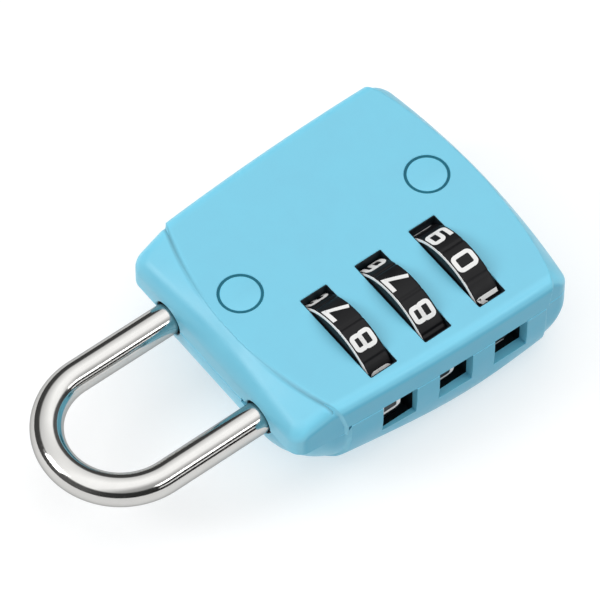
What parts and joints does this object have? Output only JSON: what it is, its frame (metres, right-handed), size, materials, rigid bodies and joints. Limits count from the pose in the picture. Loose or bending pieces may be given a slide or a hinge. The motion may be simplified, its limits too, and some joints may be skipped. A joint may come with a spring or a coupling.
{
  "type": "luggage combination padlock",
  "caption": "Small moulded luggage padlock with number dials along one side and a sliding U-shaped chrome shackle.",
  "frame": {"origin": "under the middle of the whole lock's box, on the surface its flat back rests on", "axes": "+Z out of the front face, +Y along the shackle's legs towards its bow, +X to the right when the front is seen with the shackle up; the dials are on the -X side"},
  "size_m": [0.0318, 0.0564, 0.0148],
  "materials": {
    "body_plastic": "satin moulded ABS, sky blue",
    "shackle_chrome": "polished chrome plating",
    "dial_plastic": "black plastic with white printed numerals",
    "clutch_metal": "as machined",
    "spring_steel": "bright spring steel",
    "screw_steel": "zinc plated"
  },
  "bodies": {
    "casing": {"front_cover": "body_plastic", "back_cover": "body_plastic", "screw_plugs": "body_plastic", "cover_screws": "screw_steel", "thrust_ring": "clutch_metal", "pressure_washer": "spring_steel", "clutch_spring": "spring_steel", "detent_spring": "spring_steel"},
    "shackle": {"shackle": "shackle_chrome"},
    "dial_1": {"dial_1": "dial_plastic", "clutch_1": "clutch_metal"},
    "dial_2": {"dial_2": "dial_plastic", "clutch_2": "clutch_metal"},
    "dial_3": {"dial_3": "dial_plastic", "clutch_3": "clutch_metal"}
  },
  "joints": [
    {"name": "shackle_lift", "type": "slide", "parent": "casing", "child": "shackle", "axis": [0, 1, 0], "range_m": [0, 0.007]},
    {"name": "dial_1_turn", "type": "hinge", "parent": "casing", "child": "dial_1", "pos_m": [-0.0076, -0.0043, 0.0078], "axis": [0, 1, 0], "continuous": true},
    {"name": "dial_2_turn", "type": "hinge", "parent": "casing", "child": "dial_2", "pos_m": [-0.0076, -0.0113, 0.0078], "axis": [0, 1, 0], "continuous": true},
    {"name": "dial_3_turn", "type": "hinge", "parent": "casing", "child": "dial_3", "pos_m": [-0.0076, -0.0183, 0.0078], "axis": [0, 1, 0], "continuous": true}
  ]
}
